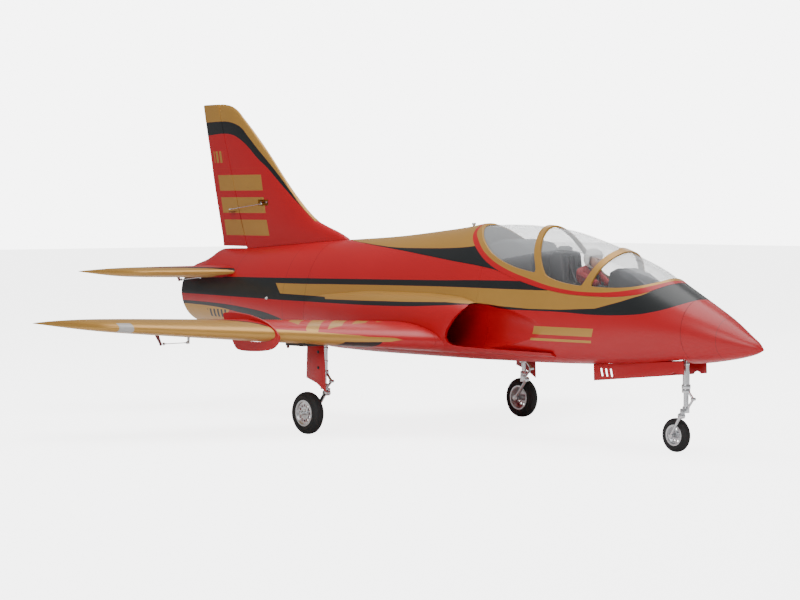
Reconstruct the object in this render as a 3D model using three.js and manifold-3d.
// A radio-controlled sport jet with a ducted fan, swept wings and a retracting tricycle undercarriage.
// Millimetres. +X points to the nose, +Y to the left wing, +Z up. z = 0 is the ground under the wheels.
import * as THREE from 'three';
import Module from 'manifold-3d';
import { mergeVertices } from 'three/addons/utils/BufferGeometryUtils.js';

const wasm = await Module();
wasm.setup();

// ---------------------------------------------------------------- driving dimensions
const GAP = 0.3;                       // between pieces that touch
const NOSE_JOINT = 605;                // where the nose cone meets the fuselage
const FORWARD_JOINT = 190;             // forward to centre fuselage
const REAR_JOINT = -260;               // centre to rear fuselage
const TAIL_END = -663;
const SKIN = 3;                        // thickness of the hatch shell
const GLAZING = 1.2;
const MAIN_PIVOT = { x: -25, y: 230, z: 164 };
const MAIN_WHEEL = { x: -48, y: 247, radius: 35.5, width: 23 };
const KNEE = { x: -20, z: 70 };        // trailing-arm pivot of the main legs
const NOSE_PIVOT = { x: 573, z: 166 };
const NOSE_WHEEL = { x: 553, radius: 26.5, width: 16 };
const NOSE_KNEE_Z = 58;
const FAN = { x: -228, z: 215, radius: 40 };
const SPAR = { x: 20, z: 158, radius: 6, halfSpan: 200 };
const BAY_HALF_WIDTH = 27.3;           // nose-gear bay

// ---------------------------------------------------------------- colours
const RED = [0xc4262e, 0.4, 0];
const GOLD = [0xc89a52, 0.4, 0.2];
const BLACK = [0x26292b, 0.45, 0];
const GREY = [0x6d7072, 0.7, 0];
const CLEAR = [0xdfe5e8, 0.05, 0];
const METAL = [0xb9bcc0, 0.3, 0.9];
const WHITE = [0xf1f1ee, 0.5, 0];
const TYRE = [0x1c1c1d, 0.85, 0];
const BLUE = [0x2c3f66, 0.6, 0];

// ---------------------------------------------------------------- solids
function fromArrays(positions, triangles) {
  return new wasm.Manifold(new wasm.Mesh({
    numProp: 3,
    vertProperties: new Float32Array(positions),
    triVerts: new Uint32Array(triangles),
  }));
}

// A closed skin as a solid, turned outside out where its triangles face inwards.
function closed(positions, triangles) {
  const at = (index) => new THREE.Vector3(...positions.slice(3 * index, 3 * index + 3));
  let volume = 0;
  for (let i = 0; i < triangles.length; i += 3) {
    volume += at(triangles[i]).dot(at(triangles[i + 1]).cross(at(triangles[i + 2])));
  }
  return fromArrays(positions, volume > 0 ? triangles : [...triangles].reverse());
}

function solid(geometry) {
  const bare = geometry.clone();
  bare.deleteAttribute('normal');
  bare.deleteAttribute('uv');
  const merged = mergeVertices(bare, 1e-4);
  return closed(merged.attributes.position.array, merged.index.array);
}

function join(first, ...others) {
  return others.reduce((sum, other) => sum.add(other), first);
}

function cut(base, ...tools) {
  return tools.reduce((rest, tool) => rest.subtract(tool), base);
}

function mirror(body) {
  const mesh = body.getMesh();
  const positions = Array.from(mesh.vertProperties, (value, index) => (index % 3 === 1 ? -value : value));
  const triangles = [];
  for (let i = 0; i < mesh.triVerts.length; i += 3) {
    triangles.push(mesh.triVerts[i], mesh.triVerts[i + 2], mesh.triVerts[i + 1]);
  }
  return fromArrays(positions, triangles);
}

function box(x0, x1, y0, y1, z0, z1) {
  const geometry = new THREE.BoxGeometry(x1 - x0, y1 - y0, z1 - z0);
  geometry.translate((x0 + x1) / 2, (y0 + y1) / 2, (z0 + z1) / 2);
  return solid(geometry);
}

function rod(from, to, startRadius, endRadius = startRadius, sides = 8) {
  const start = new THREE.Vector3(...from);
  const along = new THREE.Vector3(...to).sub(start);
  const geometry = new THREE.CylinderGeometry(endRadius, startRadius, along.length(), sides);
  geometry.translate(0, along.length() / 2, 0);
  const upright = new THREE.Vector3(0, 1, 0);
  const turn = new THREE.Quaternion().setFromUnitVectors(upright, along.clone().normalize());
  geometry.applyQuaternion(turn);
  geometry.translate(start.x, start.y, start.z);
  return solid(geometry);
}

function ball(x, y, z, radius, stretch = [1, 1, 1]) {
  const geometry = new THREE.SphereGeometry(radius, 10, 7);
  geometry.scale(...stretch);
  geometry.translate(x, y, z);
  return solid(geometry);
}

// A side-view outline in X and Z, as thick as y0 to y1.
function slab(outline, y0, y1) {
  const shape = new THREE.Shape(outline.map(([x, z]) => new THREE.Vector2(x, z)));
  const geometry = new THREE.ExtrudeGeometry(shape, { depth: y1 - y0, bevelEnabled: false });
  geometry.rotateX(Math.PI / 2);
  geometry.translate(0, y1, 0);
  return solid(geometry);
}

// A plan-view outline in X and Y, as thick as z0 to z1.
function plate(outline, z0, z1) {
  const shape = new THREE.Shape(outline.map(([x, y]) => new THREE.Vector2(x, y)));
  const geometry = new THREE.ExtrudeGeometry(shape, { depth: z1 - z0, bevelEnabled: false });
  geometry.translate(0, 0, z0);
  return solid(geometry);
}

// A closed profile of [radius, distance along the axis], turned about Y or X.
function turned(profile, axis, centre, sides) {
  const points = profile.map(([radius, along]) => new THREE.Vector2(radius, along));
  const geometry = new THREE.LatheGeometry([...points, points[0]], sides);
  if (axis === 'x') {
    geometry.rotateZ(-Math.PI / 2);
  }
  geometry.translate(...centre);
  return solid(geometry);
}

// A skin through closed rings of points, with a flat cap at each end.
function loft(rings) {
  const count = rings[0].length;
  const positions = rings.flat(2);
  const triangles = [];
  for (let r = 0; r + 1 < rings.length; r += 1) {
    for (let i = 0; i < count; i += 1) {
      const a = r * count + i;
      const b = r * count + (i + 1) % count;
      triangles.push(a, b, a + count, b, b + count, a + count);
    }
  }
  for (const [ring, order] of [[rings[0], 0], [rings[rings.length - 1], 1]]) {
    const base = order * (rings.length - 1) * count;
    const centre = positions.length / 3;
    for (let axis = 0; axis < 3; axis += 1) {
      positions.push(ring.reduce((sum, point) => sum + point[axis], 0) / count);
    }
    for (let i = 0; i < count; i += 1) {
      const j = (i + 1) % count;
      triangles.push(...(order ? [base + i, base + j, centre] : [base + j, base + i, centre]));
    }
  }
  return closed(positions, triangles);
}

// Smooth values between the rows of a table whose first column falls or rises steadily.
function smoothTable(rows) {
  const sorted = [...rows].sort((a, b) => a[0] - b[0]);
  const slope = (i, c) => (sorted[i + 1][c] - sorted[i][c]) / (sorted[i + 1][0] - sorted[i][0]);
  const tangent = (i, c) => {
    if (i === 0 || i === sorted.length - 1) {
      return slope(Math.min(i, sorted.length - 2), c);
    }
    const before = slope(i - 1, c);
    const after = slope(i, c);
    return before * after <= 0 ? 0 : 2 * before * after / (before + after);
  };
  return (x) => {
    const last = sorted.length - 2;
    const found = sorted.findIndex((row, i) => i <= last && x <= sorted[i + 1][0]);
    const i = found < 0 ? last : found;
    const width = sorted[i + 1][0] - sorted[i][0];
    const t = Math.min(1, Math.max(0, (x - sorted[i][0]) / width));
    const hermite = (c) => (
      (2 * t ** 3 - 3 * t ** 2 + 1) * sorted[i][c] + (t ** 3 - 2 * t ** 2 + t) * width * tangent(i, c)
      + (3 * t ** 2 - 2 * t ** 3) * sorted[i + 1][c] + (t ** 3 - t ** 2) * width * tangent(i + 1, c));
    return sorted[i].slice(1).map((_, c) => hermite(c + 1));
  };
}

const power = (value, exponent) => Math.sign(value) * Math.abs(value) ** exponent;

// A rounded-square section across X: centre, half width, heights above and below, and how full each half is.
function ovalRing(x, yc, zc, halfWidth, up, down, fullUp, fullDown, count) {
  return Array.from({ length: count }, (_, i) => {
    const angle = 2 * Math.PI * i / count;
    const full = Math.sin(angle) >= 0 ? fullUp : fullDown;
    const reach = Math.sin(angle) >= 0 ? up : down;
    const across = power(Math.cos(angle), 2 / full);
    return [x, yc + halfWidth * across, zc + reach * power(Math.sin(angle), 2 / full)];
  });
}

// ---------------------------------------------------------------- fuselage shape
// Station, crown, keel, half width, height of the widest point, fullness of the upper and the lower half.
const BODY = [
  [728, 167, 165, 1, 166, 2, 2],
  [716, 177.5, 159.5, 9.5, 168.5, 2, 2],
  [701, 186.5, 155, 16, 171, 2, 2],
  [661, 211, 147, 32.5, 178, 2, 2],
  [608, 238, 140, 48, 187, 2, 2],
  [555, 265, 137, 59, 192, 2, 2.1],
  [517, 286, 134, 65, 194, 2, 2.2],
  [453, 309.5, 131, 72, 194, 2, 2.4],
  [388, 329, 128.5, 77, 192, 2, 2.6],
  [320, 344.6, 126.5, 81, 190, 2, 2.8],
  [262, 350.6, 125.5, 84, 188, 2, 2.8],
  [204, 352.7, 125, 86, 188, 2, 2.8],
  [131, 351.4, 124, 87, 188, 2, 2.8],
  [94, 346, 124, 87, 188, 2, 2.8],
  [32, 339, 124, 87, 188, 2, 2.8],
  [-98, 327, 124, 88, 189, 2, 2.8],
  [-212, 320.5, 125.5, 87, 191, 2, 2.6],
  [-300, 316, 130, 83, 196, 2, 2.4],
  [-400, 309, 136, 77, 203, 2, 2.2],
  [-530, 300.5, 146, 68, 213, 1.8, 2],
  [-600, 299, 152, 63.5, 217, 1.7, 2],
  [-614, 291.5, 153.5, 63, 217.5, 1.75, 2],
  [-637, 280.5, 155.5, 61.5, 218, 1.9, 2],
  [TAIL_END, 273, 157.5, 60, 218, 2, 2],
];
const BODY_STATIONS = [
  728, 720, 701, 661, 605, 555, 510, 453, 388, 320, 240, 150, 110, 40, -98, -212, -300, -400, -530, -600, -614,
  -637, TAIL_END,
];
const bodyAt = smoothTable(BODY);

function bodyRing(x, inset, count = 28) {
  const [crown, keel, halfWidth, mid, fullUp, fullDown] = bodyAt(x);
  const up = Math.max(0.5, crown - inset - mid);
  const down = Math.max(0.5, mid - keel - inset);
  return ovalRing(x, 0, mid, Math.max(0.5, halfWidth - inset), up, down, fullUp, fullDown, count);
}

function bodyCore(inset, from = TAIL_END, to = 728, count = 28) {
  const inner = BODY_STATIONS.filter((x) => x > from + 1 && x < to - 1);
  return loft([to, ...inner, from].map((x) => bodyRing(x, inset, count)));
}

// Side nacelle: station, centre across, centre height, half width, half height.
const NACELLE = [
  [350, 40, 152, 34, 14],
  [250, 50, 165, 47, 27],
  [186, 58, 182, 51, 44],
  [142, 62, 185, 54, 48],
  [60, 62, 186, 56, 50],
  [-60, 62, 186, 55, 50],
  [-150, 55, 186, 52, 47],
  [-230, 45, 190, 47, 44],
  [-300, 35, 192, 42, 42],
];
// Intake tunnel: station, inner wall, outer wall, floor, roof. It starts as a scoop along the body side.
const TUNNEL = [
  [365, 83, 140, 162, 200],
  [300, 76, 140, 153, 213],
  [240, 68, 120, 149, 220],
  [186, 60, 105, 147, 222],
  [142, 57, 111, 146, 223],
  [100, 55, 112, 148, 225],
  [60, 48, 108, 158, 228],
  [30, 40, 102, 172, 230],
  [-50, 24, 84, 180, 240],
  [-110, 8, 62, 178, 248],
  [-160, -12, 46, 175, 255],
  [-199, -41, 41, 174, 256],
];
const TUNNEL_FULLNESS = 2.6;
const nacelleAt = smoothTable(NACELLE);
const tunnelAt = smoothTable(TUNNEL);

function nacelle() {
  const stations = [350, 250, 186, 142, 60, -60, -150, -230, -300];
  return loft(stations.map((x) => {
    const [across, height, halfWidth, halfHeight] = nacelleAt(x);
    return ovalRing(x, across, height, halfWidth, halfHeight, halfHeight, 2.6, 2.6, 20);
  }));
}

function tunnel() {
  const stations = [365, 300, 240, 186, 142, 100, 60, 30, -10, -50, -110, -160, -199];
  return loft(stations.map((x) => {
    const [inner, outer, floor, roof] = tunnelAt(x);
    const half = (roof - floor) / 2;
    const full = x < -150 ? 2 + 0.6 * (x + 199) / 49 : TUNNEL_FULLNESS;
    return ovalRing(x, (inner + outer) / 2, floor + half, (outer - inner) / 2, half, half, full, full, 16);
  }));
}

// What lies ahead of the slanted intake lip and above the lower shelf, in side view.
const LIP_CUT = [
  [380, 146], [250, 148], [175, 150], [155, 152], [146, 157], [144, 165], [150, 178], [164, 197], [178, 212],
  [187, 222], [192, 245], [380, 245],
];

// ---------------------------------------------------------------- wing shape
// Distance from the centre line, leading edge, trailing edge, relative thickness.
const WING = [
  [60, 166, -176, 0.14],
  [120, 130, -190, 0.14],
  [345, -5, -241, 0.145],
  [500, -98, -276, 0.14],
  [560, -134, -290, 0.13],
  [580, -156, -300, 0.12],
  [594, -190, -310, 0.11],
  [602, -235, -319, 0.1],
  [606, -290, -326, 0.09],
];
const WING_CAMBER = 0.02;
const ROOT_HEIGHT = 157.5;
const DIHEDRAL = 0.0575;
const STAB = [
  [34, -487, -679, 0.115],
  [120, -524, -695, 0.12],
  [205, -560, -712, 0.115],
  [230, -588, -719, 0.11],
  [243, -632, -724, 0.1],
  [250, -690, -728, 0.09],
];
const STAB_HEIGHT = 257;

function foil(leading, trailing, thickness, camber, grow, steps = 9) {
  const chord = leading - trailing + 2 * grow;
  const station = (i) => 0.5 - 0.5 * Math.cos(Math.PI * i / steps);
  const half = (s) => 5 * thickness * chord
    * (0.2969 * Math.sqrt(s) - 0.126 * s - 0.3516 * s ** 2 + 0.2843 * s ** 3 - 0.1015 * s ** 4) + grow + 0.25;
  const mean = (s) => camber * chord * (s < 0.4 ? (0.8 * s - s * s) / 0.16 : (0.2 + 0.8 * s - s * s) / 0.36);
  const nose = [[leading + grow, 0]];
  const upper = Array.from({ length: steps }, (_, i) => station(i + 1));
  const side = (sign) => upper.map((s) => [leading + grow - s * chord, mean(s) + sign * half(s)]);
  return [...side(1).reverse(), ...nose, ...side(-1)];
}

function spanLoft(table, heightAt, camber, grow, spans) {
  const at = smoothTable(table);
  return loft(spans.map((y) => {
    const [leading, trailing, thickness] = at(y);
    return foil(leading, trailing, thickness, camber, grow).map(([x, z]) => [x, y, heightAt(y) + z]);
  }));
}

const wingHeight = (y) => ROOT_HEIGHT + DIHEDRAL * (y - 110);
const wingAt = smoothTable(WING);
const WING_SPANS = [120.3, 230, 345, 500, 560, 580, 594, 602, 606];

function wingLoft(grow = 0, spans = WING_SPANS) {
  return spanLoft(WING, wingHeight, WING_CAMBER, grow, spans);
}

// Half thickness and mean height of the wing at a point behind the leading edge.
function wingAtPoint(x, y) {
  const [leading, trailing, thickness] = wingAt(y);
  const chord = leading - trailing;
  const s = (leading - x) / chord;
  const half = 5 * thickness * chord
    * (0.2969 * Math.sqrt(s) - 0.126 * s - 0.3516 * s ** 2 + 0.2843 * s ** 3 - 0.1015 * s ** 4);
  return { half, mid: wingHeight(y) + WING_CAMBER * chord * (0.2 + 0.8 * s - s * s) / 0.36 };
}

// ---------------------------------------------------------------- the group and its pieces
const group = new THREE.Group();

function piece(name, body, [color, roughness, metalness]) {
  const mesh = body.getMesh();
  const geometry = new THREE.BufferGeometry();
  geometry.setAttribute('position', new THREE.BufferAttribute(mesh.vertProperties, 3));
  geometry.setIndex(new THREE.BufferAttribute(mesh.triVerts, 1));
  const material = new THREE.MeshStandardMaterial({ color, roughness, metalness });
  const node = new THREE.Mesh(geometry, material);
  node.name = name;
  group.add(node);
}

function pair(name, body, finish) {
  piece(`left_${name}`, body, finish);
  piece(`right_${name}`, mirror(body), finish);
}

// ---------------------------------------------------------------- main undercarriage (left side)
// The well is wide enough for the wheel with its arm extended and with its arm pressed in.
const legLength = MAIN_PIVOT.z - MAIN_WHEEL.radius;
const wellCentre = MAIN_PIVOT.y - legLength;
const pressedWheelX = MAIN_WHEEL.x - 6.6;
const pressedWheelY = wellCentre + 6.6;
const mainWell = join(
  rod([MAIN_WHEEL.x, wellCentre, 90], [MAIN_WHEEL.x, wellCentre, 168], 41, 41, 24),
  rod([pressedWheelX, pressedWheelY, 90], [pressedWheelX, pressedWheelY, 168], 39.5, 39.5, 24),
  box(-37, 0, wellCentre, 238, 90, 172),
  box(-61, 1, 134, 238, 90, 156),
  box(-48.3, -1.7, 221, 294.3, 90, 176),
);

function mainRetractUnit() {
  const block = box(-48, -2, 242, 294, 150, 175.5);
  const cheeks = join(box(-48, -39, 222, 243, 156, 172), box(-11, -2, 222, 243, 156, 172));
  const pinHole = rod([-60, MAIN_PIVOT.y, MAIN_PIVOT.z], [20, MAIN_PIVOT.y, MAIN_PIVOT.z], 2.8);
  return cut(join(block, cheeks), pinHole);
}

function mainLeg() {
  const { x, y, z } = MAIN_PIVOT;
  const pin = rod([-47, y, z], [-3, y, z], 2.5);
  const trunnion = box(x - 9, x + 9, y - 6, y + 6, z - 8, z + 7);
  const cylinder = rod([x, y, z - 6], [x, y, 104], 6);
  const collar = rod([x, y, 108], [x, y, 100], 7.5);
  const slider = rod([x, y, 104], [x, y, KNEE.z + 8], 4.2);
  const knee = join(
    rod([x, y, KNEE.z + 15], [x, y, KNEE.z + 6], 6.5),
    box(x - 4, KNEE.x + 4, y - 6, y - 1.2, KNEE.z - 4, KNEE.z + 8),
    rod([KNEE.x, y - 6, KNEE.z], [KNEE.x, y - 1.2, KNEE.z], 5),
  );
  const scissorUpper = rod([x + 7, y, 102], [x + 19, y, 90], 2.2, 2.2, 6);
  const scissorLower = rod([x + 19, y, 90], [x + 6, y, KNEE.z + 8], 2.2, 2.2, 6);
  const scissorPin = rod([x + 19, y - 4, 90], [x + 19, y + 4, 90], 2.6, 2.6, 6);
  const doorPegs = join(
    rod([x, y + 4, 138], [x, y + 10.7, 138], 3),
    rod([x, y + 4, 112], [x, y + 10.7, 112], 3),
  );
  const scissors = join(scissorUpper, scissorLower, scissorPin);
  return join(pin, trunnion, cylinder, collar, slider, knee, scissors, doorPegs);
}

function mainLegDoor() {
  const outline = [[-55, 149], [-13, 149], [-9, 118], [-7, 73], [-30, 86], [-57, 94]];
  return slab(outline, MAIN_PIVOT.y + 11, MAIN_PIVOT.y + 13);
}

function mainTrailingArm() {
  const y = MAIN_PIVOT.y;
  const bar = rod([KNEE.x, y + 2, KNEE.z], [MAIN_WHEEL.x, y + 2, MAIN_WHEEL.radius], 3.2);
  const knuckle = rod([KNEE.x, y - 0.9, KNEE.z], [KNEE.x, y + 4.6, KNEE.z], 5);
  const { x: axleX, radius } = MAIN_WHEEL;
  const hub = rod([axleX, y - 0.8, radius], [axleX, y + 4.6, radius], 5.5);
  const axle = rod([axleX, y, radius], [axleX, y + 28, radius], 2.4);
  return join(bar, knuckle, hub, axle);
}

// A wheel rim: a drum with a web and a hub bore; the tyre sits on the drum.
function rim(x, y, radius, width) {
  const rimRadius = 0.62 * radius;
  const half = 0.4 * width;
  return turned([
    [2.7, -half], [5.5, -half], [5.5, -1.6], [rimRadius - 3, -1.6], [rimRadius - 3, -half],
    [rimRadius, -half], [rimRadius, half], [rimRadius - 3, half], [rimRadius - 3, 1.6], [2.7, 1.6],
  ], 'y', [x, y, radius], 20);
}

function tyre(x, y, radius, width) {
  const inner = 0.62 * radius + 0.15;
  const half = width / 2;
  return turned([
    [inner, -0.42 * width], [inner + 3, -half], [radius - 5, -half], [radius - 0.8, -0.25 * width],
    [radius, 0],
    [radius - 0.8, 0.25 * width], [radius - 5, half], [inner + 3, half], [inner, 0.42 * width],
  ], 'y', [x, y, radius], 20);
}

pair('retract_unit', mainRetractUnit(), BLACK);
pair('main_leg', mainLeg(), METAL);
pair('leg_door', mainLegDoor(), RED);
pair('trailing_arm', mainTrailingArm(), METAL);
pair('main_rim', rim(MAIN_WHEEL.x, MAIN_WHEEL.y, MAIN_WHEEL.radius, MAIN_WHEEL.width), METAL);
pair('main_tyre', tyre(MAIN_WHEEL.x, MAIN_WHEEL.y, MAIN_WHEEL.radius, MAIN_WHEEL.width), TYRE);

// ---------------------------------------------------------------- nose undercarriage
const noseBay = box(397, 594, -BAY_HALF_WIDTH, BAY_HALF_WIDTH, 90, 207);

function noseRetractUnit() {
  const { x, z } = NOSE_PIVOT;
  const head = box(x - 14, x + 14, -26.9, 26.9, z + 12, z + 38);
  const cheek = box(x - 9, x + 9, 14, 26.9, z - 8, z + 13);
  const cheeks = join(cheek, mirror(cheek));
  return cut(join(head, cheeks), rod([x, -40, z], [x, 40, z], 2.8));
}

function noseLeg() {
  const { x, z } = NOSE_PIVOT;
  return join(
    rod([x, -26, z], [x, 26, z], 2.5),
    box(x - 7, x + 7, -12, 12, z - 8, z + 7),
    rod([x, 0, z - 6], [x, 0, 100], 5.5),
    rod([x, 0, 106], [x, 0, 99], 7),
  );
}

function noseSteeringStrut() {
  const { x } = NOSE_PIVOT;
  const y = -11.5;
  return join(
    rod([x, 0, 98.6], [x, 0, 64], 4),
    rod([x, 0, 98.6], [x, 0, 93], 6.5),
    rod([x + 5, 0, 95], [x + 15, 0, 84], 2, 2, 6),
    rod([x + 15, 0, 84], [x + 4, 0, 70], 2, 2, 6),
    rod([x + 15, -4, 84], [x + 15, 4, 84], 2.4, 2.4, 6),
    rod([x, 0, 72], [x, 0, 62], 5.5),
    box(x - 4, x + 4, y + 1.8, 4, 62, 69),
    box(x - 4, x + 4, y + 1.8, y + 5.4, NOSE_KNEE_Z - 4, 69),
    rod([x, y + 1.8, NOSE_KNEE_Z], [x, y + 5.4, NOSE_KNEE_Z], 4.6),
  );
}

function noseTrailingArm() {
  const { x } = NOSE_PIVOT;
  const y = -11.5;
  const { x: axleX, radius } = NOSE_WHEEL;
  return join(
    rod([x, y - 1, NOSE_KNEE_Z], [axleX, y - 1, radius], 2.6),
    rod([x, y - 3, NOSE_KNEE_Z], [x, y + 1.5, NOSE_KNEE_Z], 4.6),
    rod([axleX, y - 3, radius], [axleX, y + 1.2, radius], 4.6),
    rod([axleX, y - 2, radius], [axleX, 9.5, radius], 2.4),
  );
}

// The door hinge line runs along the edge of the bay and climbs towards the nose.
const DOOR_REAR = [400, BAY_HALF_WIDTH - 0.3, 130];
const DOOR_FRONT = [591, BAY_HALF_WIDTH - 0.3, 143.5];

function noseDoor() {
  const panel = slab([
    [DOOR_REAR[0], DOOR_REAR[2]], [DOOR_FRONT[0], DOOR_FRONT[2]],
    [DOOR_FRONT[0] + 1, DOOR_FRONT[2] - 20.5], [DOOR_REAR[0] + 1, DOOR_REAR[2] - 26.3],
  ], DOOR_REAR[1] - 2, DOOR_REAR[1]);
  const strutNotch = rod([NOSE_PIVOT.x, 0, 115.4], [NOSE_PIVOT.x, 40, 115.4], 10);
  const slots = Array.from({ length: 3 }, (_, i) => {
    const x = 414 + 10.5 * i;
    return slab([[x, 124], [x + 5, 124.3], [x + 8, 112], [x + 3, 111.7]], 0, 40);
  });
  return cut(panel, strutNotch, ...slots);
}

piece('nose_retract_unit', noseRetractUnit(), BLACK);
piece('nose_leg', noseLeg(), METAL);
piece('nose_steering_strut', noseSteeringStrut(), METAL);
piece('nose_trailing_arm', noseTrailingArm(), METAL);
piece('nose_rim', rim(NOSE_WHEEL.x, 0, NOSE_WHEEL.radius, NOSE_WHEEL.width), METAL);
piece('nose_tyre', tyre(NOSE_WHEEL.x, 0, NOSE_WHEEL.radius, NOSE_WHEEL.width), TYRE);
pair('nose_door', noseDoor(), RED);

// ---------------------------------------------------------------- fuselage
// Lower edge of the lift-off hatch, in side view, from its tail to the front of the canopy.
const HATCH_EDGE = [
  [-212, 319], [-175, 316], [-38, 304.5], [94, 291], [215, 277.5], [280, 260], [343, 247], [402, 240.5],
  [465, 239], [523, 244.5], [545, 252.5], [562, 262],
];

function hatchPrism(lower) {
  const edge = HATCH_EDGE.map(([x, z]) => [x, z - lower]);
  const outline = [[-212 - lower, 400], [-212 - lower, edge[0][1]], ...edge, [563 + lower, 400]];
  return slab(outline, -120, 120);
}

const centreBayOutline = [
  [388, 40], [100, 40], [60, 36], [40, 30], [40, -30], [60, -36], [100, -40], [388, -40],
];

function hatchHollow() {
  const inner = bodyCore(11, -195, 541, 20);
  const region = join(
    box(-195, -88, -90, 90, 266, 400),
    box(-89, 152, -90, 90, 254, 400),
    box(151, 386, -90, 90, 231, 400),
    box(385, 541, -90, 90, 217, 400),
  );
  return inner.intersect(region);
}

function sparTube(grow, reach) {
  return rod([SPAR.x, -reach, SPAR.z], [SPAR.x, reach, SPAR.z], SPAR.radius + grow, SPAR.radius + grow, 12);
}

function thrustTunnel(grow) {
  return turned([[0, -266], [43 + grow, -266], [39 + grow, -640], [0, -640]], 'x', [0, 0, FAN.z], 24);
}

// The empty space round the thrust tube, open to it, and the space that runs forward from it below the fan.
function tailHollow() {
  return join(bodyCore(12, -600, -268, 20), box(-268.5, -96, -68, 68, 138, 166));
}

function wholeFuselage() {
  const side = cut(nacelle(), slab(LIP_CUT, 0, 160));
  const stub = wingLoft(0, [60, 119.9]);
  const shell = join(bodyCore(0), side, mirror(side), stub, mirror(stub));
  const duct = tunnel();
  const fanSeat = rod([-198, 0, FAN.z], [-267, 0, FAN.z], 43.6, 43.6, 24);
  const flare = turned([[0, -618], [39.5, -618], [54, -664], [0, -664]], 'x', [0, 0, FAN.z + 0.5], 24);
  return cut(
    shell, duct, mirror(duct), fanSeat, thrustTunnel(0.4), flare, tailHollow(),
    plate(centreBayOutline, 140, 400), hatchHollow(), hatchPrism(0.4), noseBay,
    mainWell, mirror(mainWell), sparTube(0.2, 130),
  );
}

const fuselage = wholeFuselage();
const forwardRegion = box(FORWARD_JOINT + GAP / 2, NOSE_JOINT - GAP / 2, -200, 200, 0, 500);
const centreRegion = box(REAR_JOINT + GAP / 2, FORWARD_JOINT - GAP / 2, -200, 200, 0, 500);
const rearRegion = box(-700, REAR_JOINT - GAP / 2, -200, 200, 0, 500);

function noseCone() {
  const outer = bodyCore(0, NOSE_JOINT + GAP / 2, 728);
  const magnetPocket = rod([NOSE_JOINT - 5, 0, 187], [NOSE_JOINT + 6, 0, 187], 9, 9, 12);
  return cut(outer, magnetPocket);
}

piece('nose_cone', noseCone(), RED);
piece('forward_fuselage', fuselage.intersect(forwardRegion), RED);
piece('centre_fuselage', fuselage.intersect(centreRegion), RED);
piece('rear_fuselage', fuselage.intersect(rearRegion), RED);
piece('wing_spar', sparTube(0, SPAR.halfSpan), BLACK);

// ---------------------------------------------------------------- canopy hatch
// Window outlines in side view: behind the first hoop, between the hoops and ahead of the second hoop.
const WINDOWS = [
  [[128, 362], [133, 350], [145.6, 341], [166, 324.5], [203, 300.5], [252, 283], [300, 274.5], [311, 274],
    [307, 285], [295, 304], [283, 333], [270, 362]],
  [[281, 362], [296, 329], [309, 300], [325, 278], [334, 268], [370, 259], [407, 254.7], [413, 256],
    [421.5, 277], [431, 297], [446, 320]],
  [[459, 316], [446, 297], [434.5, 277], [428.5, 256], [432, 254], [470, 253], [505, 254.8], [532, 260],
    [548, 266], [552, 280]],
];

function canopyHatch() {
  const shell = cut(bodyCore(0, -212, 563), bodyCore(SKIN, -209, 556)).intersect(hatchPrism(0));
  const windows = WINDOWS.map((outline) => slab(outline, -120, 120));
  const latchSlot = box(82, 96, -2.6, 2.6, 330, 360);
  return cut(shell, ...windows, latchSlot);
}

function canopyGlass() {
  const outer = bodyCore(SKIN + GAP, -209, 556);
  const inner = bodyCore(SKIN + GAP + GLAZING, -209, 556);
  const region = slab([
    [119, 362], [126, 346], [160, 322], [198, 294], [250, 276], [311, 265], [340, 258.5], [405, 249],
    [440, 248], [500, 250.5], [530, 256], [549, 264], [551, 300], [460, 330],
  ], -120, 120);
  return cut(outer, inner).intersect(region);
}

// Floor, rear deck, seat and instrument coaming, all narrower than the opening they lift through.
function cockpitTub() {
  const floor = plate([
    [166, 46], [400, 50], [470, 42], [528, 25], [528, -25], [470, -42], [400, -50], [166, -46],
  ], 234, 238);
  const deck = slab([[168, 237], [168, 318], [205, 326], [250, 320], [268, 300], [272, 237]], -36, 36);
  const seat = slab([[292, 237], [296, 300], [308, 308], [322, 306], [330, 262], [336, 237]], -24, 24);
  const cushion = slab([[330, 237], [334, 248], [388, 252], [394, 237]], -22, 22);
  const coaming = slab([[420, 237], [428, 276], [446, 283], [478, 275], [522, 250], [524, 237]], -21, 21);
  const sides = slab([[280, 237], [286, 258], [392, 247], [430, 246], [430, 237]], -49, 49);
  const well = box(290, 418, -40, 40, 239, 300);
  const body = join(floor, deck, cut(sides, well), seat, cushion, coaming);
  return body.intersect(bodyCore(SKIN + GLAZING + 2.5, 150, 535));
}

function pilot() {
  return join(
    ball(362, 0, 268, 20, [0.8, 1.15, 0.9]),
    rod([364, 0, 272], [372, 0, 286], 8, 7),
    ball(374, 0, 296, 16.5),
    rod([360, 20, 274], [392, 14, 258], 6),
    rod([360, -20, 274], [392, -14, 258], 6),
  ).subtract(box(300, 420, -60, 60, 200, 252.6));
}

function hatchLatch() {
  return join(
    rod([92, 0, 339], [92, 0, 351], 2.1),
    rod([92, 0, 348], [92, 0, 351.5], 3.4),
    box(78, 97, -5, 5, 336, 339.5),
  );
}

piece('canopy_hatch', canopyHatch(), GOLD);
piece('canopy_glass', canopyGlass(), CLEAR);
piece('cockpit_tub', cockpitTub(), GREY);
piece('pilot', pilot(), WHITE);
piece('hatch_latch', hatchLatch(), METAL);

// ---------------------------------------------------------------- hinged surfaces
// Splits a surface at its hinge line between two spans and rounds the moving part's nose about the hinge.
function hingedSurface(whole, stops, region, clearance = 1.2) {
  return {
    fixed: cut(whole, region.wide, roundedNose(stops, clearance)),
    moving: join(whole.intersect(region.narrow), roundedNose(stops, 0)),
  };
}

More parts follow.
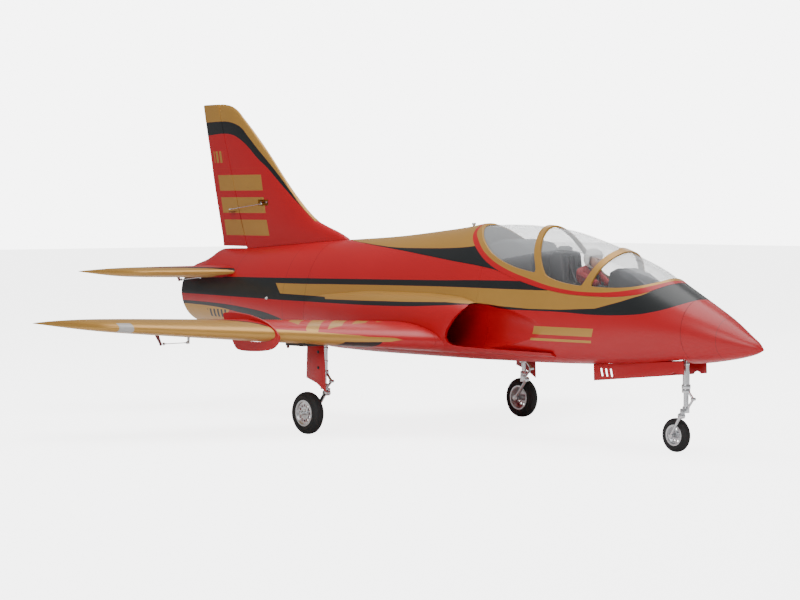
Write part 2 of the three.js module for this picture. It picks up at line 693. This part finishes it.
// A round bar along the hinge line, as thick at each stop as the surface is there.
function roundedNose(stops, grow) {
  const ends = [stops[0], stops[stops.length - 1]].map((stop) => new THREE.Vector3(...stop.point));
  const direction = ends[1].clone().sub(ends[0]).normalize();
  const shifted = (stop, reach) => (
    new THREE.Vector3(...stop.point).addScaledVector(direction, reach).toArray());
  return join(...stops.slice(1).map((stop, i) => rod(
    shifted(stops[i], -grow), shifted(stop, grow), stops[i].radius + grow, stop.radius + grow, 14)));
}

// ---------------------------------------------------------------- wings (left side)
const AILERON = { from: 353, to: 556, endGap: 1.6, hinge: (y) => -176 - 0.298 * (y - 345) };
// A lowered flap slides along its swept hinge, so both of its ends have a wide gap.
const FLAP = { from: 124, to: 337.4, innerGap: 4, outerGap: 4.4, hinge: (y) => -110 - 0.2935 * (y - 120) };
const FENCE = { from: 345, to: 348 };

function behind(hinge, from, to, offset) {
  return plate([
    [hinge(from) - offset, from], [hinge(to) - offset, to], [-800, to], [-800, from],
  ], 100, 300);
}

const wholeWing = wingLoft();
const aileronEnds = [AILERON.from, AILERON.to].map((y) => {
  const { half, mid } = wingAtPoint(AILERON.hinge(y), y);
  return { point: [AILERON.hinge(y), y, mid], radius: half - 0.2 };
});
const aileronRegion = {
  wide: behind(AILERON.hinge, AILERON.from - AILERON.endGap, AILERON.to + AILERON.endGap, 0),
  narrow: behind(AILERON.hinge, AILERON.from, AILERON.to, 0),
};
const aileron = hingedSurface(wholeWing, aileronEnds, aileronRegion);

const HORN_Y = 439;
const AILERON_SERVO = { x: -132, y: 430, z: 172, arm: 16 };
const aileronHornTip = [-198, HORN_Y, 151];

function horn(base, tip, thickness, axis) {
  const half = thickness / 2;
  const [x, y, z] = tip;
  const ear = axis === 'y'
    ? rod([x, y - half, z], [x, y + half, z], 3)
    : rod([x, y, z - half], [x, y, z + half], 3);
  const blade = axis === 'y'
    ? slab([[base[0] - 7, base[2]], [base[0] + 7, base[2]], [x + 2.6, z], [x - 2.6, z]], y - half, y + half)
    : plate([[base[0] - 7, base[1]], [base[0] + 7, base[1]], [x + 2.6, y], [x - 2.6, y]], z - half, z + half);
  return join(ear, blade);
}

const aileronHorn = horn([-217, HORN_Y, 176], aileronHornTip, 1.6, 'y');
const flap = join(
  aileron.fixed.intersect(behind(FLAP.hinge, FLAP.from, FLAP.to, 0.8)),
  horn([-150, 215, 166], [-141, 215, 141], 1.6, 'y'),
);
const servoSlot = box(
  AILERON_SERVO.x - 17, AILERON_SERVO.x + 17, AILERON_SERVO.y - 2, AILERON_SERVO.y + 5, 120, 177);
const leftWing = cut(
  aileron.fixed, behind(FLAP.hinge, FLAP.from - FLAP.innerGap, FLAP.to + FLAP.outerGap, 0), mainWell,
  sparTube(0.2, SPAR.halfSpan + 1), servoSlot,
);

function wingFence() {
  const outline = [
    [-147, 203], [-110, 203.5], [-60, 199], [-20, 188], [2, 172], [4, 163], [-4, 153], [-20, 145], [-60, 141],
    [-107, 141], [-118, 150], [-147, 196],
  ];
  return cut(slab(outline, FENCE.from, FENCE.to), wingLoft(0.35, [330, 345, 360]));
}

function pushrod(from, to, radius, axis) {
  const ends = [from, to].map(([x, y, z]) => (axis === 'y'
    ? rod([x, y - 1, z], [x, y + 1, z], 2.6)
    : rod([x, y, z - 1], [x, y, z + 1], 2.6)));
  return join(rod(from, to, radius, radius, 6), ...ends);
}

function aileronServoArm() {
  const { x, y, z, arm } = AILERON_SERVO;
  return join(
    slab([
      [x - 3.2, z + 2], [x + 3.2, z + 2], [x + 2.2, z - arm - 2], [x - 2.2, z - arm - 2],
    ], y - 0.8, y + 0.8),
    rod([x, y - 1.4, z], [x, y + 1.2, z], 4.2, 4.2, 12),
  );
}

const aileronRodY = AILERON_SERVO.y + 2.9;
pair('wing', leftWing, RED);
pair('aileron', join(aileron.moving, aileronHorn), GOLD);
pair('flap', flap, RED);
pair('wing_fence', wingFence(), RED);
pair('aileron_servo_arm', aileronServoArm(), WHITE);
pair('aileron_pushrod', pushrod(
  [AILERON_SERVO.x, aileronRodY, AILERON_SERVO.z - AILERON_SERVO.arm],
  [aileronHornTip[0], aileronRodY, aileronHornTip[2]], 0.9, 'y'), METAL);

// ---------------------------------------------------------------- stabilisers (left side)
const ELEVATOR = { from: 64, to: 230, hinge: (y) => -631 - 0.27 * (y - 62) };
const stabSpans = [34, 120, 205, 220, 232, 240, 246, 250];
const wholeStab = cut(spanLoft(STAB, () => STAB_HEIGHT, 0, 0, stabSpans), bodyCore(-GAP, TAIL_END - 1, -400));
const stabAt = smoothTable(STAB);
const elevatorEnds = [ELEVATOR.from, ELEVATOR.to].map((y) => {
  const [leading, trailing, thickness] = stabAt(y);
  const chord = leading - trailing;
  const s = (leading - ELEVATOR.hinge(y)) / chord;
  const half = 5 * thickness * chord
    * (0.2969 * Math.sqrt(s) - 0.126 * s - 0.3516 * s ** 2 + 0.2843 * s ** 3 - 0.1015 * s ** 4);
  return { point: [ELEVATOR.hinge(y), y, STAB_HEIGHT], radius: half - 0.1 };
});
const elevator = hingedSurface(
  wholeStab, elevatorEnds, {
    wide: behind(ELEVATOR.hinge, ELEVATOR.from - 1, ELEVATOR.to + 1, 0),
    narrow: behind(ELEVATOR.hinge, ELEVATOR.from, ELEVATOR.to, 0),
  }, 0.9);

const ELEVATOR_SERVO = { x: -576, y: 76, z: 259, arm: 13 };
const elevatorHornTip = [-637, 84, 240];
const elevatorHorn = horn([-645, 84, 252], elevatorHornTip, 1.6, 'y');
const elevatorServoSlot = box(
  ELEVATOR_SERVO.x - 15, ELEVATOR_SERVO.x + 15, ELEVATOR_SERVO.y - 2, ELEVATOR_SERVO.y + 5, 230, 264);

function elevatorServoArm() {
  const { x, y, z, arm } = ELEVATOR_SERVO;
  return join(
    slab([[x - 2.8, z + 2], [x + 2.8, z + 2], [x + 2, z - arm - 2], [x - 2, z - arm - 2]], y - 0.8, y + 0.8),
    rod([x, y - 1.4, z], [x, y + 1.2, z], 3.8, 3.8, 12),
  );
}

const elevatorRodY = ELEVATOR_SERVO.y + 2.9;
pair('stabiliser', cut(elevator.fixed, elevatorServoSlot), RED);
pair('elevator', join(elevator.moving, elevatorHorn), RED);
pair('elevator_servo_arm', elevatorServoArm(), WHITE);
pair('elevator_pushrod', pushrod(
  [ELEVATOR_SERVO.x, elevatorRodY, ELEVATOR_SERVO.z - ELEVATOR_SERVO.arm],
  [elevatorHornTip[0], elevatorRodY, elevatorHornTip[2]], 0.9, 'y'), METAL);

// ---------------------------------------------------------------- fin and rudder
// Height, leading edge, trailing edge, relative thickness.
const FIN = [
  [284, -190, -602, 0.05],
  [303, -214, -608, 0.055],
  [322, -238, -611, 0.06],
  [335, -272, -614.5, 0.066],
  [350, -319, -618.5, 0.074],
  [390, -377, -629, 0.08],
  [430, -421, -639, 0.082],
  [474, -465, -648.5, 0.084],
  [521, -517, -660, 0.086],
  [545, -546, -665.5, 0.086],
  [558, -562, -668.5, 0.085],
  [566, -578, -670, 0.08],
  [570, -593, -671, 0.07],
  [572, -612, -668, 0.05],
];
const RUDDER_FOOT = 303.5;
const RUDDER_HEAD = 569;
const rudderHinge = (z) => -530 - 0.335 * (z - 302);
const finAt = smoothTable(FIN);

function finLoft() {
  const levels = [284, 303, 322, 335, 350, 390, 474, 521, 545, 558, 566, 570, 572];
  return loft(levels.map((z) => {
    const [leading, trailing, thickness] = finAt(z);
    return foil(leading, trailing, thickness, 0, 0, 8).map(([x, y]) => [x, y, z]);
  }));
}

function finHalf(z) {
  const [leading, trailing, thickness] = finAt(z);
  const chord = leading - trailing;
  const s = (leading - rudderHinge(z)) / chord;
  return 5 * thickness * chord
    * (0.2969 * Math.sqrt(s) - 0.126 * s - 0.3516 * s ** 2 + 0.2843 * s ** 3 - 0.1015 * s ** 4);
}

function aftOfRudderHinge(low, high) {
  return slab([[rudderHinge(low), low], [-720, low], [-720, high], [rudderHinge(high), high]], -30, 30);
}

const wholeFin = cut(finLoft(), bodyCore(-GAP, TAIL_END - 1, -150));
const rudderEnds = [RUDDER_FOOT, 350, 440, 560].map((z) => (
  { point: [rudderHinge(z), 0, z], radius: finHalf(z) - 0.1 }));
const rudder = hingedSurface(
  wholeFin, rudderEnds, {
    wide: aftOfRudderHinge(200, 700),
    narrow: aftOfRudderHinge(RUDDER_FOOT, 700),
  }, 0.9);
const RUDDER_SERVO = { x: -474, y: -1, z: 386, arm: 12 };
const rudderHornTip = [-566, -17, 368];
const rudderHorn = horn([-572, -3, 368], rudderHornTip, 1.6, 'z');
const rudderServoSlot = box(-490, -458, -30, 3, 380, 391);

function rudderServoArm() {
  const { x, y, z, arm } = RUDDER_SERVO;
  return join(
    plate([[x - 3, y + 2], [x + 3, y + 2], [x + 2, y - arm - 2], [x - 2, y - arm - 2]], z - 0.8, z + 0.8),
    rod([x, y, z - 1.4], [x, y, z + 1.4], 3.6, 3.6, 12),
  );
}

// Over the rounded nose of the rudder the two faces are flat, so the fin stands back from them.
const headGap = slab([
  [rudderHinge(559) + 6, 559], [rudderHinge(559) - 9, 559],
  [rudderHinge(575) - 9, 575], [rudderHinge(575) + 6, 575],
], -30, 30);
piece('tail_fin', cut(rudder.fixed, rudderServoSlot, headGap), RED);
piece('rudder', join(rudder.moving, rudderHorn), RED);
piece('rudder_servo_arm', rudderServoArm(), WHITE);
piece('rudder_pushrod', pushrod(
  [RUDDER_SERVO.x, RUDDER_SERVO.y - RUDDER_SERVO.arm, RUDDER_SERVO.z - 2.9],
  [rudderHornTip[0], rudderHornTip[1], rudderHornTip[2] + 5], 0.9, 'z'), METAL);

// ---------------------------------------------------------------- ducted fan, thrust tube and contents
const MOTOR_RADIUS = 14;

function fanHousing() {
  const ring = turned([
    [FAN.radius, -27], [FAN.radius + 2.4, -27], [FAN.radius + 2.4, 27], [FAN.radius, 27],
  ], 'x', [FAN.x - 6, 0, FAN.z], 24);
  const can = turned([
    [MOTOR_RADIUS + 0.4, -20], [MOTOR_RADIUS + 2.4, -20], [MOTOR_RADIUS + 2.4, 12], [MOTOR_RADIUS + 0.4, 12],
  ], 'x', [FAN.x - 13, 0, FAN.z], 16);
  const vanes = Array.from({ length: 5 }, (_, i) => {
    const vane = new THREE.BoxGeometry(24, 1.8, FAN.radius - MOTOR_RADIUS + 0.2);
    vane.translate(FAN.x - 19, 0, (FAN.radius + MOTOR_RADIUS + 3) / 2);
    vane.rotateX(2 * Math.PI * i / 5);
    vane.translate(0, 0, FAN.z);
    return solid(vane);
  });
  return join(ring, can, ...vanes);
}

function fanRotor() {
  const hubProfile = [[0, 22], [6, 19], [11, 11], [13, 0], [13, -8], [0, -8]];
  const hub = turned(hubProfile, 'x', [FAN.x + 10, 0, FAN.z], 16);
  const blades = Array.from({ length: 9 }, (_, i) => {
    const blade = new THREE.BoxGeometry(15, 1.6, FAN.radius - 13);
    blade.rotateZ(0.75);
    blade.translate(FAN.x + 10, 0, 11.5 + (FAN.radius - 13) / 2);
    blade.rotateX(2 * Math.PI * i / 9);
    blade.translate(0, 0, FAN.z);
    return solid(blade);
  });
  return join(hub, ...blades);
}

function fanMotor() {
  return join(
    rod([FAN.x - 2, 0, FAN.z], [FAN.x - 38, 0, FAN.z], MOTOR_RADIUS, MOTOR_RADIUS, 16),
    rod([FAN.x - 38, 0, FAN.z], [FAN.x - 52, 0, FAN.z], MOTOR_RADIUS, 5, 16),
  );
}

function thrustTube() {
  const wall = 1.1;
  return turned([
    [42.6, -266.3], [42.6 - wall, -266.3], [38.4 - wall, -632], [38.4, -632],
  ], 'x', [0, 0, FAN.z], 24);
}

piece('fan_housing', fanHousing(), BLACK);
piece('fan_rotor', fanRotor(), BLACK);
piece('fan_motor', fanMotor(), METAL);
piece('thrust_tube', thrustTube(), CLEAR);
piece('battery_pack', box(215, 365, -24, 24, 140.4, 186), BLUE);
piece('control_box', box(96, 150, -18, 18, 140.4, 160), BLACK);

export default group;
